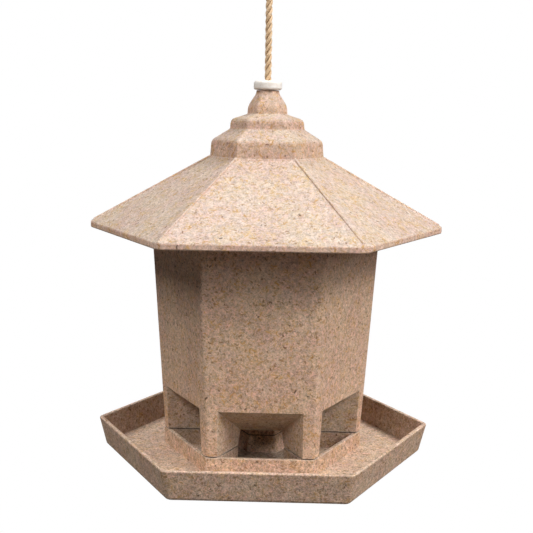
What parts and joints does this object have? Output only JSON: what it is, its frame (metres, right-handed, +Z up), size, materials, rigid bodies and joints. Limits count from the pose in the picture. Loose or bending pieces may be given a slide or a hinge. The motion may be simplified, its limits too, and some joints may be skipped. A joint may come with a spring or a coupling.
{
  "type": "hanging bird feeder",
  "caption": "Hexagonal hanging bird feeder: open seed tray, flared seed hopper with arched-in feeding ports, stepped pagoda roof, and a jute cord with stopper, knots and hanging loop.",
  "frame": {"origin": "the bearing point of the hanging loop: the inside of the loop's top, on the feeder's upright axis; the tray's underside is 352 mm below it", "axes": "+Z up along the cord; the hexagons' corners lie on +X and -X and two flat sides face +Y and -Y; -Y is the front"},
  "size_m": [0.2058, 0.18, 0.356],
  "materials": {
    "straw_composite": "matt moulded bioplastic full of straw fibre, pinkish tan with ochre curls and dark flecks",
    "stopper_plastic": "off-white satin moulded plastic",
    "jute": "twisted natural jute, golden tan, slightly hairy"
  },
  "bodies": {
    "tray_and_rope": {"tray": "straw_composite", "hanging_rope": "jute", "lower_knot": "jute", "upper_knot": "jute", "hanging_loop": "jute"},
    "hopper": {"hopper": "straw_composite"},
    "roof": {"roof": "straw_composite"},
    "rope_stopper": {"rope_stopper": "stopper_plastic"}
  },
  "joints": [
    {"name": "hopper_lift", "type": "slide", "parent": "tray_and_rope", "child": "hopper", "axis": [0, 0, 1], "range_m": [0, 0.02]},
    {"name": "roof_lift", "type": "slide", "parent": "hopper", "child": "roof", "axis": [0, 0, 1], "range_m": [0, 0.055]},
    {"name": "stopper_slide", "type": "slide", "parent": "roof", "child": "rope_stopper", "axis": [0, 0, 1], "range_m": [0, 0.012]}
  ]
}
